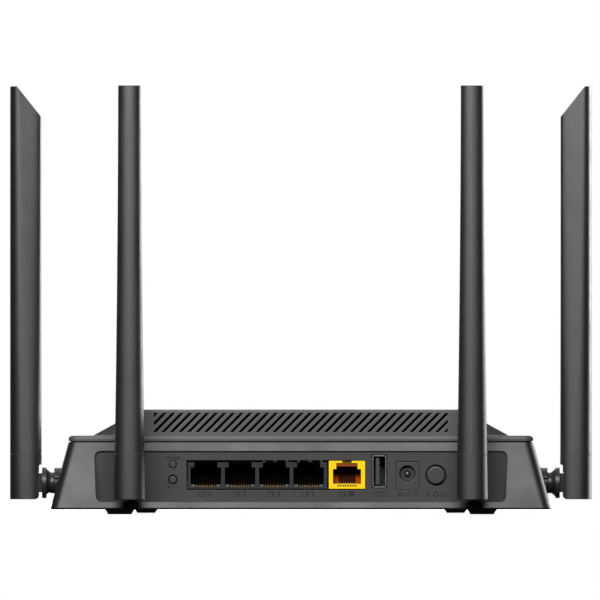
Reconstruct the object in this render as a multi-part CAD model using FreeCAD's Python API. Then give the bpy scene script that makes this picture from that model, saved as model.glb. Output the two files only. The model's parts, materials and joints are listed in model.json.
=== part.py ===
import FreeCAD, Part
import math
import os

# Wireless router with four jointed antennas. Millimetres, +Z up, z = 0 is the
# surface under the feet. The socket side faces -Y. Left is -X and right is +X,
# as seen from the socket side. The origin is the middle of the bounding box's base.

# ---------------------------------------------------------------- lower shell
BASE_Z = 2.0                # underside of the case, above the feet
BASE_HALF_X = 102.1         # half width at the bottom edge
REAR_Y = -62.0              # rear bottom edge
FRONT_Y = 76.2              # front bottom edge, before it is rounded
WALL_SLOPE = 0.268          # every wall leans in by this much per mm of height
SHELL_TOP = 29.35
WALL = 2.2
FLOOR = 2.0
CORNER_R = 4.0
BOTTOM_EDGE_R = 0.6

# ------------------------------------------------------------------ top cover
COVER_Z = 29.85             # underside of the rim, a 0.5 mm groove above the shell
COVER_TOP = 32.1            # at the socket side
COVER_FRONT_TOP = 31.6
COVER_HALF_X = 94.7
COVER_REAR_Y = -54.6
COVER_FRONT_Y = 68.8
COVER_EDGE_R = 1.2
COVER_WALL = 2.0
COVER_RIM = 2.4             # thickness of the rim; the lip inside it enters the shell
COVER_LIP = 1.4
COVER_LIP_Z = 27.6
GROOVE_DEPTH = 0.7
HUMP_TOP = 42.8
HUMP_REAR_HALF_X = 65.3
HUMP_FRONT_HALF_X = 86.2
HUMP_REAR_Y = -54.3
HUMP_FRONT_Y = 57.7
SLOT_PITCH = 3.49
SLOT_WIDTH = 1.42           # measured along X; the slots lean at 45 degrees
SLOT_HALF_X = 59.9
SLOT_Z = (33.5, 41.3)

# ----------------------------------------------------------- recessed sockets
PANEL_Y = -54.8             # outer face of the socket panel
PANEL_THICK = 2.0
PANEL_BACK = PANEL_Y + PANEL_THICK
RECESS_TOP_HALF_X = 84.2
RECESS_BOTTOM_HALF_X = 83.4
RECESS_Z = (5.1, 25.7)
RECESS_CORNER_R = 2.4
BOARD_TOP = 10.0
BOARD_THICK = 1.6
BOARD_REAR_Y = PANEL_BACK + 0.4

JACK_PITCH = 13.97          # standard spacing of ganged 8-pin modular jacks
LAN_X = (-46.12, 10.73)
LAN_CENTRES = [-38.77 + JACK_PITCH * i for i in range(4)]
WAN_X = (11.38, 26.18)
WAN_CENTRE = 18.78
JACK_BOTTOM = 10.4          # lower edge of the jacks' faces, just above the board
LAN_TOP = 21.2
WAN_TOP = 21.8
JACK_WINDOW_X = (-46.57, 26.33)
JACK_WINDOW_Z = (9.95, 22.0)
JACK_FACE_Y = PANEL_Y + 0.2
JACK_DEPTH = 15.0
CAVITY_DEPTH = 13.0
USB_CENTRE = (31.98, 17.45)
USB_SIZE = (5.7, 13.2)
USB_FACE_Y = PANEL_Y - 0.3
DC_X = (38.88, 48.13)
DC_HOLE = (43.38, 16.65)
DC_HOLE_R = 3.05
POWER_AT = (55.03, 15.95)
WIFI_AT = (-52.22, 20.3)
WPS_AT = (-52.22, 14.15)

# ------------------------------------------------------------------- antennas
# An antenna is drawn in its own frame: u points away from the case along the
# connector's axis, v lies along the hinge pin, w is up, and u = 0 is the
# outer end of the bushing.
AXIS_Z = 12.85
SIDE_AT = (100.6, -44.0)    # bushing end of the side antennas
BACK_AT = (69.7, -58.0)     # bushing end of the back antennas
BUSHING_R = 6.2
BARREL_R = 4.6
JOURNAL_R = 2.95
RUNNING_GAP = 0.05
NECK_R = 4.3
GROOVE_R = 3.6
DISC_R = 6.3
DISC_U = (3.2, 5.0)
TONGUE_HALF_V = 2.5
TONGUE_HALF_W = 3.9
PIN_U = 9.5
PIN_W = -2.8
PIN_R = 1.2
PIN_HALF_V = 4.2
FOOT_INNER_U = 6.3
BLADE_INNER_U = 5.0
OUTER_U = 18.05
FOOT_BOTTOM_W = -6.75
STEP_W = 7.4
SEAM_W = 11.7
TIP_W = 161.7
TIP_FLAT = 2.8
TIP_FALL = 1.26             # drop of the cut-off tip per mm towards the case
SLEEVE_WALL = 1.3

ANTENNAS = {
    "left_side": (-SIDE_AT[0], SIDE_AT[1], 180.0),
    "right_side": (SIDE_AT[0], SIDE_AT[1], 0.0),
    "left_back": (-BACK_AT[0], BACK_AT[1], -90.0),
    "right_back": (BACK_AT[0], BACK_AT[1], -90.0),
}

X = FreeCAD.Vector(1, 0, 0)
Y = FreeCAD.Vector(0, 1, 0)
Z = FreeCAD.Vector(0, 0, 1)


# -------------------------------------------------------------------- helpers
def vec(x, y, z):
    return FreeCAD.Vector(x, y, z)


def box(x, y, z):
    """Box between pairs of limits."""
    return Part.makeBox(x[1] - x[0], y[1] - y[0], z[1] - z[0], vec(x[0], y[0], z[0]))


def block(centre, size, z0):
    """Box centred on a point in plan, standing on z0."""
    half_x = size[0] / 2
    half_y = size[1] / 2
    return box((centre[0] - half_x, centre[0] + half_x),
               (centre[1] - half_y, centre[1] + half_y), (z0, z0 + size[2]))


def rod(radius, start, length, axis):
    return Part.makeCylinder(radius, length, start, axis)


def prism(points, travel):
    """Solid swept from a closed outline of straight edges."""
    wire = Part.makePolygon(points + [points[0]])
    return Part.Face(wire).extrude(travel)


def rounded_wire(u, v, radii, w):
    """Rounded rectangle at height w; radii are for the low-u and high-u corners."""
    r_low = radii[0]
    r_high = radii[1]
    diagonal = 1 - math.sqrt(0.5)
    corners = [
        (u[1] - r_high, v[0], u[1], v[0] + r_high, u[1] - r_high * diagonal, v[0] + r_high * diagonal),
        (u[1], v[1] - r_high, u[1] - r_high, v[1], u[1] - r_high * diagonal, v[1] - r_high * diagonal),
        (u[0] + r_low, v[1], u[0], v[1] - r_low, u[0] + r_low * diagonal, v[1] - r_low * diagonal),
        (u[0], v[0] + r_low, u[0] + r_low, v[0], u[0] + r_low * diagonal, v[0] + r_low * diagonal),
    ]
    edges = []
    before = vec(u[0] + r_low, v[0], w)
    for x0, y0, x1, y1, xm, ym in corners:
        start = vec(x0, y0, w)
        end = vec(x1, y1, w)
        edges.append(Part.LineSegment(before, start).toShape())
        edges.append(Part.Arc(start, vec(xm, ym, w), end).toShape())
        before = end
    return Part.Wire(edges)


def loft(wires, ruled):
    return Part.makeLoft(wires, True, ruled)


def fuse(shapes):
    first = shapes[0]
    if len(shapes) > 1:
        first = first.fuse(shapes[1:])
    return first


def group(shapes):
    return Part.makeCompound(shapes)


def save(name, shape):
    shape.exportStep("parts/" + name + ".step")


def edges_at(shape, test):
    """Edges whose every vertex passes the test."""
    return [e for e in shape.Edges if all(test(p.Point) for p in e.Vertexes)]


# ------------------------------------------------------------ case and panels
def wall_inset(z):
    """How far the leaning walls have come in at height z."""
    return (z - BASE_Z) * WALL_SLOPE


def case_block(offset, z0, z1):
    """Leaning-walled block of the case's outline, moved inwards by offset."""
    wires = []
    for z in (z0, z1):
        inset = wall_inset(z) + offset
        radius = max(CORNER_R - offset, 1.2)
        wires.append(rounded_wire((-BASE_HALF_X + inset, BASE_HALF_X - inset),
                                  (REAR_Y + inset, FRONT_Y - inset), (radius, radius), z))
    return loft(wires, True)


def recess_outline(grow, y):
    """Rounded outline of the socket recess, in the plane at y."""
    low_x = RECESS_BOTTOM_HALF_X + grow
    high_x = RECESS_TOP_HALF_X + grow
    low = RECESS_Z[0] - grow
    high = RECESS_Z[1] + grow
    plate = prism([vec(-low_x, y, low), vec(low_x, y, low), vec(high_x, y, high),
                   vec(-high_x, y, high)], Y)
    corners = [e for e in plate.Edges if abs(e.Vertexes[0].Y - e.Vertexes[1].Y) > 0.5]
    plate = plate.makeFillet(RECESS_CORNER_R + grow, corners)
    return [f for f in plate.Faces if abs(f.CenterOfMass.y - y) < 0.001][0]


def underside_vents():
    """Two banks of cooling slots through the floor."""
    slots = []
    for side in (-1, 1):
        for i in range(14):
            y = -26 + i * 5.0
            slots.append(block((side * 32.0, y), (44.0, 1.8, 6.0), BASE_Z - 2))
    return slots


CASE_SCREWS = [(-88.0, -26.0), (88.0, -26.0), (-84.0, 60.0), (84.0, 60.0)]
BOARD_SCREWS = [(-68.0, -36.0), (68.0, -36.0), (-68.0, 50.0), (68.0, 50.0)]
REAR_FEET = [(-73.9, -48.0), (73.9, -48.0)]
FRONT_FEET = [(-63.8, 58.0), (63.8, 58.0)]
REAR_FOOT_R = (6.1, 4.75)
FRONT_FOOT_R = (5.1, 3.7)
FOOT_POCKET = 0.8
POST_TOP = 20.0


def make_lower_shell():
    outer = case_block(0.0, BASE_Z, SHELL_TOP)
    rim = edges_at(outer, lambda p: abs(p.z - BASE_Z) < 0.001)
    outer = outer.makeFillet(BOTTOM_EDGE_R, rim)
    inner = case_block(WALL, BASE_Z + FLOOR, SHELL_TOP + 0.01)
    shell = outer.cut(inner)
    tunnel = recess_outline(1.5, PANEL_Y).extrude(vec(0, REAR_Y - 1 - PANEL_Y, 0))
    shell = shell.fuse(tunnel.common(outer))
    rebate = recess_outline(1.25, PANEL_Y).extrude(vec(0, PANEL_THICK + 4, 0))
    window = recess_outline(0.0, PANEL_Y + 5).extrude(vec(0, REAR_Y - 6 - PANEL_Y, 0))
    posts = []
    holes = []
    for x, y in CASE_SCREWS:
        posts.append(rod(3.6, vec(x, y, BASE_Z + 1), POST_TOP - BASE_Z - 1, Z))
        holes.append(rod(2.9, vec(x, y, 0), 6.0, Z))
        holes.append(rod(1.6, vec(x, y, 0), POST_TOP + 1, Z))
    for x, y in BOARD_SCREWS:
        posts.append(rod(3.0, vec(x, y, BASE_Z + 1), BOARD_TOP - BOARD_THICK - BASE_Z - 1, Z))
        holes.append(rod(1.0, vec(x, y, BASE_Z + FLOOR), BOARD_TOP, Z))
    for feet, radii in ((REAR_FEET, REAR_FOOT_R), (FRONT_FEET, FRONT_FOOT_R)):
        for x, y in feet:
            holes.append(rod(radii[0], vec(x, y, 0), BASE_Z + FOOT_POCKET, Z))
    for side in (-1, 1):
        start = vec(side * 85.0, SIDE_AT[1], AXIS_Z)
        holes.append(rod(BARREL_R, start, 20.0, X * side))
    shell = shell.fuse(posts)
    return shell.cut([window, rebate] + holes + underside_vents())


def make_rubber_feet():
    feet = []
    for places, radii in ((REAR_FEET, REAR_FOOT_R), (FRONT_FEET, FRONT_FOOT_R)):
        for x, y in places:
            taper = Part.makeCone(radii[1], radii[0], BASE_Z, vec(x, y, 0), Z)
            peg = rod(radii[0] - 0.1, vec(x, y, BASE_Z), FOOT_POCKET, Z)
            feet.append(taper.fuse(peg).removeSplitter())
    return group(feet)


def make_port_panel():
    plate = recess_outline(1.2, PANEL_Y).extrude(vec(0, PANEL_THICK, 0))
    gap = 0.15
    depth = (PANEL_Y - 1, PANEL_BACK + 1)
    windows = [
        box(JACK_WINDOW_X, depth, JACK_WINDOW_Z),
        box((USB_CENTRE[0] - USB_SIZE[0] / 2 - gap, USB_CENTRE[0] + USB_SIZE[0] / 2 + gap), depth,
            (USB_CENTRE[1] - USB_SIZE[1] / 2 - gap, USB_CENTRE[1] + USB_SIZE[1] / 2 + gap)),
        box((DC_X[0] - 0.1, DC_X[1] + 0.1), depth, (BOARD_TOP - 0.1, 21.4 + 0.2)),
    ]
    for spot, radius in ((POWER_AT, 4.3), (WIFI_AT, 1.65), (WPS_AT, 1.95)):
        windows.append(rod(radius, vec(spot[0], depth[0], spot[1]), 4.0, Y))
    for side in (-1, 1):
        windows.append(rod(BARREL_R, vec(side * BACK_AT[0], depth[0], AXIS_Z), 4.0, Y))
    return plate.cut(windows)


def cover_top(y):
    """Height of the cover's flat top, which falls slightly towards the front."""
    fall = (COVER_TOP - COVER_FRONT_TOP) / (COVER_FRONT_Y - COVER_REAR_Y)
    return COVER_TOP - fall * (y - COVER_REAR_Y)


def hump_block(offset):
    """Wedge that stands highest at the socket side and widens towards the front."""
    run = HUMP_FRONT_Y - HUMP_REAR_Y
    spread = (HUMP_FRONT_HALF_X - HUMP_REAR_HALF_X) / run
    fall = (HUMP_TOP - cover_top(HUMP_FRONT_Y)) / run
    rear = HUMP_REAR_Y + offset
    front = HUMP_FRONT_Y
    rear_x = HUMP_REAR_HALF_X + offset * spread - offset
    front_x = HUMP_FRONT_HALF_X - offset
    top = HUMP_TOP - offset
    low = COVER_Z
    plan = prism([vec(-rear_x, rear, low), vec(rear_x, rear, low), vec(front_x, front, low),
                  vec(-front_x, front, low)], Z * 20)
    side = prism([vec(-100, rear, low), vec(-100, front, low), vec(-100, front, top - fall * run),
                  vec(-100, rear, top - fall * offset)], X * 200)
    return plan.common(side)


def vent_slots():
    """Leaning slots, cut off square by the ends and sides of the vent field."""
    height = SLOT_Z[1] - SLOT_Z[0]
    count = int(SLOT_HALF_X / SLOT_PITCH) + 2
    bands = []
    for i in range(-count, count + 1):
        mid = i * SLOT_PITCH
        low = mid - height / 2
        high = mid + height / 2
        half = SLOT_WIDTH / 2
        bands.append(prism([vec(low - half, HUMP_REAR_Y - 1, SLOT_Z[0]),
                            vec(low + half, HUMP_REAR_Y - 1, SLOT_Z[0]),
                            vec(high + half, HUMP_REAR_Y - 1, SLOT_Z[1]),
                            vec(high - half, HUMP_REAR_Y - 1, SLOT_Z[1])], Y * 4))
    field = box((-SLOT_HALF_X, SLOT_HALF_X), (HUMP_REAR_Y - 2, HUMP_REAR_Y + 4), SLOT_Z)
    return [band.common(field) for band in bands if band.distToShape(field)[0] < 0.001]


LED_COUNT = 8
LED_PITCH = 8.0
LED_Y = 62.5
LED_XS = [(i - (LED_COUNT - 1) / 2) * LED_PITCH for i in range(LED_COUNT)]


def rim_block(inset, z0, z1):
    """Upright block of the cover's outline, moved inwards by inset."""
    radius = max(CORNER_R - 0.3 - inset, 2.0)
    return loft([rounded_wire((-COVER_HALF_X + inset, COVER_HALF_X - inset),
                              (COVER_REAR_Y + inset, COVER_FRONT_Y - inset), (radius, radius), z)
                 for z in (z0, z1)], True)


def make_top_cover():
    y0 = COVER_REAR_Y - 5
    y1 = COVER_FRONT_Y + 5
    above = prism([vec(-100, y0, cover_top(y0)), vec(-100, y1, cover_top(y1)), vec(-100, y1, 40),
                   vec(-100, y0, 40)], X * 200)
    flat = rim_block(0.0, COVER_Z, COVER_TOP).cut(above)
    flat = flat.makeFillet(COVER_EDGE_R, edges_at(flat, lambda p: p.z > COVER_FRONT_TOP - 0.1))
    hump = hump_block(0.0)
    ridge = edges_at(hump, lambda p: p.z > HUMP_TOP - 0.01)
    hump = hump.makeFillet(0.8, ridge)
    cover = flat.fuse(hump).cut([rim_block(COVER_RIM, COVER_Z - 1, COVER_TOP - COVER_WALL),
                                 hump_block(COVER_WALL)])
    lip = rim_block(COVER_RIM, COVER_LIP_Z, COVER_TOP - 1)
    lip = lip.fuse(rim_block(GROOVE_DEPTH, SHELL_TOP + 0.02, COVER_Z + 0.5))
    lip = lip.cut(rim_block(COVER_RIM + COVER_LIP, COVER_LIP_Z - 1, COVER_TOP))
    lip = lip.cut(hump_block(COVER_WALL))
    posts = []
    holes = vent_slots()
    for x, y in CASE_SCREWS:
        posts.append(rod(3.2, vec(x, y, POST_TOP), COVER_TOP - 1 - POST_TOP, Z))
        holes.append(rod(1.25, vec(x, y, POST_TOP - 1), 9.0, Z))
    for x in LED_XS:
        holes.append(block((x, LED_Y), (3.2, 1.4, 4.0), COVER_TOP - 3))
    cover = cover.fuse([lip] + posts)
    return cover.cut(holes)


# ------------------------------------------------------------ board and parts
def make_circuit_board():
    outline = [vec(-62, BOARD_REAR_Y, 0), vec(62, BOARD_REAR_Y, 0), vec(62, -44, 0), vec(74, -44, 0),
               vec(74, 66, 0), vec(-74, 66, 0), vec(-74, -44, 0), vec(-62, -44, 0)]
    board = prism([p + Z * (BOARD_TOP - BOARD_THICK) for p in outline], Z * BOARD_THICK)
    holes = [rod(1.45, vec(x, y, 0), 20, Z) for x, y in BOARD_SCREWS]
    return board.cut(holes)


def screw(x, y, head_z, shank_r, length, head_r, head_h, head_side):
    """Pan-head screw with a cross recess; head_side is +1 for a head on top."""
    shank = rod(shank_r, vec(x, y, head_z), length, Z * -head_side)
    head = rod(head_r, vec(x, y, head_z), head_h, Z * head_side)
    top = head_z + head_side * head_h
    cross = []
    for size in ((head_r * 1.2, 0.6), (0.6, head_r * 1.2)):
        low = min(top, top - head_side * 0.7)
        cross.append(block((x, y), (size[0], size[1], 0.7), low))
    return fuse([shank, head]).cut(cross)


def make_case_screws():
    return group([screw(x, y, 6.0, 1.25, 20.0, 2.7, 1.8, -1) for x, y in CASE_SCREWS])


def make_board_screws():
    return group([screw(x, y, BOARD_TOP, 1.0, 5.0, 2.4, 1.4, 1) for x, y in BOARD_SCREWS])


def jack_body(x, top):
    """Block of a jack: it stands on the board and its face hangs just clear of it."""
    body = box(x, (JACK_FACE_Y, JACK_FACE_Y + JACK_DEPTH), (JACK_BOTTOM, top))
    base = box(x, (BOARD_REAR_Y, JACK_FACE_Y + JACK_DEPTH), (BOARD_TOP, JACK_BOTTOM + 1))
    return body.fuse(base).removeSplitter()


def jack_cavity(centre, half_x, latch_half_x, floor, shoulder, ceiling):
    """Stepped mouth of a modular jack: a wide lower part and a narrow latch channel."""
    depth = (JACK_FACE_Y - 1, JACK_FACE_Y + CAVITY_DEPTH)
    wide = box((centre - half_x, centre + half_x), depth, (floor, shoulder))
    latch = box((centre - latch_half_x, centre + latch_half_x), depth, (shoulder - 1, ceiling))
    return wide.fuse(latch)


CONTACT_PITCH = 1.02
CONTACT_WIDTH = 0.5


def jack_contacts(centre, lip_z):
    """Eight sprung wires that rise from the front lip towards the back of a jack."""
    y0 = JACK_FACE_Y + 0.5
    path = [(y0, lip_z), (y0 + 0.5, lip_z), (y0 + 9.5, lip_z + 1.0), (y0 + 9.5, lip_z + 1.35),
            (y0 + 0.4, lip_z + 0.4), (y0, lip_z + 0.4)]
    wires = []
    for i in range(8):
        x = centre + (i - 3.5) * CONTACT_PITCH - CONTACT_WIDTH / 2
        wires.append(prism([vec(x, y, z) for y, z in path], X * CONTACT_WIDTH))
    return wires


def contact_relief(centre, lip_z):
    """Notch in a jack's lip that shows the eight wires."""
    half = 4 * CONTACT_PITCH + 0.15
    return box((centre - half, centre + half), (JACK_FACE_Y - 1, JACK_FACE_Y + CAVITY_DEPTH),
               (lip_z, lip_z + 1.2))


LAN_LIP_Z = 11.3
WAN_LIP_Z = 12.4


def make_lan_jack_block():
    """Four jacks side by side; T-shaped bars part their mouths."""
    cuts = []
    for centre in LAN_CENTRES:
        cuts.append(jack_cavity(centre, 6.2, 4.7, 12.1, 19.1, LAN_TOP - 0.4))
        cuts.append(box((centre - 4.7, centre + 4.7), (JACK_FACE_Y - 1, JACK_FACE_Y + 1.5),
                        (LAN_TOP - 1, LAN_TOP + 1)))
        cuts.append(contact_relief(centre, LAN_LIP_Z))
    return jack_body(LAN_X, LAN_TOP).cut(cuts)


WAN_LATCH_HALF_X = 4.33
WAN_CEILING = (20.85, 19.5)  # at the face and at the back of the sloping ceiling


def make_wan_jack():
    """Single jack with a sloping ceiling in its latch channel and a small notch on top."""
    body = jack_body(WAN_X, WAN_TOP)
    top_edges = edges_at(body, lambda p: p.z > WAN_TOP - 0.001)
    body = body.makeFillet(0.35, [e for e in top_edges if e.Length > JACK_DEPTH - 0.1])
    half = WAN_LATCH_HALF_X
    y0 = JACK_FACE_Y
    y1 = JACK_FACE_Y + CAVITY_DEPTH
    channel = prism([vec(WAN_CENTRE - half, y0 - 1, 17), vec(WAN_CENTRE - half, y0 - 1, WAN_CEILING[0]),
                     vec(WAN_CENTRE - half, y0 + 0.4, WAN_CEILING[0]),
                     vec(WAN_CENTRE - half, y0 + 5.0, WAN_CEILING[1]),
                     vec(WAN_CENTRE - half, y1, WAN_CEILING[1]), vec(WAN_CENTRE - half, y1, 17)],
                    X * (2 * half))
    cuts = [box((WAN_CENTRE - 5.7, WAN_CENTRE + 5.7), (y0 - 1, y1), (12.4, 18.4)), channel,
            box((WAN_CENTRE - 1.95, WAN_CENTRE + 1.95), (y0 - 1, y0 + 1.2), (21.2, 23))]
    for i in range(8):
        x = WAN_CENTRE + (i - 3.5) * CONTACT_PITCH
        cuts.append(box((x - 0.3, x + 0.3), (y0 - 1, y0 + 0.5), (11.3, 12.0)))
    return body.cut(cuts)


def make_lan_contacts():
    wires = []
    for centre in LAN_CENTRES:
        wires += jack_contacts(centre, LAN_LIP_Z)
    return group(wires)


def make_wan_contacts():
    return group(jack_contacts(WAN_CENTRE, WAN_LIP_Z))


USB_WALL = 0.45
USB_DEPTH = 14.0


def usb_tube(shrink, y0, length):
    half_x = USB_SIZE[0] / 2 - shrink
    half_z = USB_SIZE[1] / 2 - shrink
    tube = box((USB_CENTRE[0] - half_x, USB_CENTRE[0] + half_x), (y0, y0 + length),
               (USB_CENTRE[1] - half_z, USB_CENTRE[1] + half_z))
    long_edges = [e for e in tube.Edges if abs(e.Vertexes[0].Y - e.Vertexes[1].Y) > 1]
    return tube.makeFillet(0.75 - shrink, long_edges)


def make_usb_shell():
    return usb_tube(0.0, USB_FACE_Y, USB_DEPTH).cut(usb_tube(USB_WALL, USB_FACE_Y - 1, USB_DEPTH + 2))


def make_usb_tongue():
    back = usb_tube(USB_WALL, USB_FACE_Y + 11.0, 3.0)
    tongue = box((USB_CENTRE[0] - 1.5, USB_CENTRE[0]), (USB_FACE_Y + 0.7, USB_FACE_Y + 12),
                 (USB_CENTRE[1] - 5.4, USB_CENTRE[1] + 5.4))
    base = box((USB_CENTRE[0] - 2.6, USB_CENTRE[0] + 2.6), (USB_FACE_Y + 4, USB_FACE_Y + 14),
               (BOARD_TOP, USB_CENTRE[1] - USB_SIZE[1] / 2))
    return group([back.fuse(tongue), base])


def make_usb_contacts():
    pads = []
    for i in range(4):
        z = USB_CENTRE[1] + (i - 1.5) * 2.3
        x = USB_CENTRE[0]
        pads.append(box((x, x + 0.2), (USB_FACE_Y + 1.6, USB_FACE_Y + 9), (z - 0.5, z + 0.5)))
    return group(pads)


def make_dc_jack():
    body = box(DC_X, (PANEL_Y, PANEL_Y + 14), (BOARD_TOP, 21.4))
    hole = rod(DC_HOLE_R, vec(DC_HOLE[0], PANEL_Y - 1, DC_HOLE[1]), 11.5, Y)
    chamfer = Part.makeCone(DC_HOLE_R + 0.35, DC_HOLE_R, 0.35, vec(DC_HOLE[0], PANEL_Y, DC_HOLE[1]), Y)
    return body.cut([hole, chamfer])


def make_dc_pin():
    radius = 1.05
    stem = rod(radius, vec(DC_HOLE[0], PANEL_Y + 2.0, DC_HOLE[1]), 8.5, Y)
    tip = Part.makeSphere(radius, vec(DC_HOLE[0], PANEL_Y + 2.0, DC_HOLE[1]))
    return stem.fuse(tip).removeSplitter()


SWITCH_Y = PANEL_Y + 11.5
POWER_STEM_R = 1.5
POWER_TRAVEL = 1.8
KEY_TRAVEL = 0.5


def make_power_switch():
    body = box((POWER_AT[0] - 4.2, POWER_AT[0] + 4.2), (SWITCH_Y, SWITCH_Y + 10), (BOARD_TOP, 20.2))
    bore = rod(POWER_STEM_R + 0.1, vec(POWER_AT[0], SWITCH_Y - 1, POWER_AT[1]), 6.0, Y)
    return body.cut(bore)


def button(spot, radius, proud, flange_r, stem_r, stem_end, crown):
    """Push button: a crowned cap in the panel, a flange behind it and a stem."""
    y0 = PANEL_Y - proud
    cap = rod(radius, vec(spot[0], y0, spot[1]), PANEL_BACK + 0.4 - y0, Y)
    front = [e for e in cap.Edges if abs(e.CenterOfMass.y - y0) < 0.001]
    cap = cap.makeFillet(crown, front)
    flange = rod(flange_r, vec(spot[0], PANEL_BACK + 0.1, spot[1]), 0.9, Y)
    stem = rod(stem_r, vec(spot[0], PANEL_BACK, spot[1]), stem_end - PANEL_BACK, Y)
    return fuse([cap, flange, stem]).removeSplitter()


def make_power_button():
    return button(POWER_AT, 3.75, 1.6, 4.95, POWER_STEM_R, SWITCH_Y + 1.5, 0.7)


TACT_FACE_Y = PANEL_Y + 6.4
TACT_NUB = 0.7


def make_small_button(spot, radius):
    return button(spot, radius, 0.3, 2.4, 1.0, TACT_FACE_Y - TACT_NUB - KEY_TRAVEL - 0.15, 0.25)


def make_tact_switches():
    switches = []
    for x, z in (WIFI_AT, WPS_AT):
        body = box((x - 2.6, x + 2.6), (TACT_FACE_Y, TACT_FACE_Y + 3.2), (z - 2.6, z + 2.6))
        nub = rod(1.1, vec(x, TACT_FACE_Y - TACT_NUB, z), TACT_NUB, Y)
        switches.append(body.fuse(nub))
    return group(switches)


def make_button_board():
    y0 = TACT_FACE_Y + 3.2
    return box((-58.0, -46.8), (y0, y0 + 1.2), (BOARD_TOP, 24.5))


def shield_can(centre, size):
    """Pressed metal lid with an open underside and a ring of vent holes."""
    wall = 0.3
    outer = block(centre, size, BOARD_TOP)
    upright = [e for e in outer.Edges if abs(e.Vertexes[0].Z - e.Vertexes[1].Z) > 1]
    outer = outer.makeFillet(1.0, upright)
    inner = block(centre, (size[0] - 2 * wall, size[1] - 2 * wall, size[2] - wall), BOARD_TOP - 0.001)
    holes = []
    columns = int((size[0] - 8) / 6)
    for i in range(columns):
        x = centre[0] + (i - (columns - 1) / 2) * 6
        for y in (centre[1] - size[1] / 2 + 4, centre[1] + size[1] / 2 - 4):
            holes.append(rod(0.8, vec(x, y, BOARD_TOP), 10, Z))
    return outer.cut([inner] + holes)


CPU_AT = (6.0, 2.0)
CPU_CAN = (46.0, 40.0, 4.0)
SINK_Z = BOARD_TOP + CPU_CAN[2] + 0.5


def make_heatsink():
    plate = block(CPU_AT, (44.0, 38.0, 2.0), SINK_Z)
    fins = []
    for i in range(10):
        x = CPU_AT[0] + (i - 4.5) * 4.7
        fins.append(block((x, CPU_AT[1]), (1.2, 38.0, 10.0), SINK_Z + 1))
    return plate.fuse(fins).removeSplitter()


def make_board_chips():
    """Memory beside the processor, and the network switch behind the jacks."""
    memory = block((CPU_AT[0] + 16, CPU_AT[1]), (8.0, 12.0, 1.1), BOARD_TOP)
    network_switch = block((-26.0, -14.0), (14.0, 14.0, 1.2), BOARD_TOP)
    return group([memory, network_switch])


def make_transformers():
    return group([block((x, -33.0), (size, 11.0, 6.0), BOARD_TOP)
                  for x, size in ((-31.4, 26.0), (-3.8, 26.0), (20.5, 13.0))])


def make_capacitors():
    cans = []
    for x, y, radius, height in ((40.0, -33.0, 4.0, 9.0), (49.5, -27.0, 4.0, 9.0), (36.0, -22.0, 3.1, 7.0)):
        can = rod(radius, vec(x, y, BOARD_TOP), height, Z)
        groove = Part.makeTorus(radius + 0.15, 0.45, vec(x, y, BOARD_TOP + 1.6), Z)
        cans.append(can.cut(groove))
    return group(cans)


def make_inductors():
    coils = []
    for x, y in ((60.0, -28.0), (60.0, -19.0)):
        coil = block((x, y), (7.0, 7.0, 4.0), BOARD_TOP)
        upright = [e for e in coil.Edges if abs(e.Vertexes[0].Z - e.Vertexes[1].Z) > 1]
        coils.append(coil.makeFillet(1.4, upright))
    return group(coils)


def make_status_leds():
    return group([block((x, LED_Y), (1.6, 0.8, 0.7), BOARD_TOP) for x in LED_XS])


def make_light_guide():
    """Clear bar under the cover with one column per light."""
    low = COVER_TOP - COVER_WALL - 2.0
    bar = block((0, LED_Y), (LED_PITCH * LED_COUNT + 2, 4.0, 1.8), low)
    columns = []
    for x in LED_XS:
        columns.append(block((x, LED_Y), (3.0, 1.2, cover_top(LED_Y) - BOARD_TOP - 1.3), BOARD_TOP + 1.2))
    return bar.fuse(columns).removeSplitter()


PLUGS = {
    "left_side": (-60.0, -10.0),
    "right_side": (60.0, -8.0),
    "left_back": (-58.0, -34.0),
    "right_back": (66.0, -10.0),
}
COAX_R = 0.6


def make_coax_plugs():
    plugs = []
    for x, y in PLUGS.values():
        plugs.append(rod(1.5, vec(x, y, BOARD_TOP), 1.6, Z))
    return group(plugs)


def coax_route(points):
    """Round cable along straight runs joined by arcs as large as the runs allow."""
    edges = []
    before = points[0]
    for i in range(1, len(points) - 1):
        corner = points[i]
        back = points[i - 1] - corner
        ahead = points[i + 1] - corner
        reach = 0.45 * min(back.Length, ahead.Length)
        back.normalize()
        ahead.normalize()
        bend = math.pi - back.getAngle(ahead)
        radius = reach / math.tan(bend / 2)
        start = corner + back * reach
        end = corner + ahead * reach
        middle = back + ahead
        middle.normalize()
        apex = corner + middle * (radius / math.cos(bend / 2) - radius)
        edges.append(Part.LineSegment(before, start).toShape())
        edges.append(Part.Arc(start, apex, end).toShape())
        before = end
    edges.append(Part.LineSegment(before, points[-1]).toShape())
    path = Part.Wire(edges)
    tangent = points[1] - points[0]
    ring = Part.Wire(Part.makeCircle(COAX_R, points[0], tangent))
    return path.makePipeShell([ring], True, False)


def make_coax_cable(spot):
    plug_x, plug_y = PLUGS[spot]
    end = [vec(plug_x, plug_y, 13.4), vec(plug_x, plug_y, 11.6)]
    if spot.endswith("side"):
        side = 1 if spot.startswith("right") else -1
        x = side * (SIDE_AT[0] - 10.2)
        points = [vec(x, SIDE_AT[1], AXIS_Z), vec(x - side * 6, SIDE_AT[1] + 1.5, AXIS_Z + 1),
                  vec(x - side * 9, -34, 15), vec(x - side * 14, -22, 16.4),
                  vec(side * 68, (plug_y - 22) / 2 + 3, 16)]
    else:
        side = 1 if spot.startswith("right") else -1
        y = BACK_AT[1] + 10.2
        points = [vec(side * BACK_AT[0], y, AXIS_Z),
                  vec(side * (BACK_AT[0] - 0.5), y + 4.5, AXIS_Z + 1.2),
                  vec(side * 68, y + 10, 15.2),
                  vec(side * (abs(plug_x) + 2), (plug_y + y + 10) / 2, 16.2)]
    return coax_route(points + end)


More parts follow.
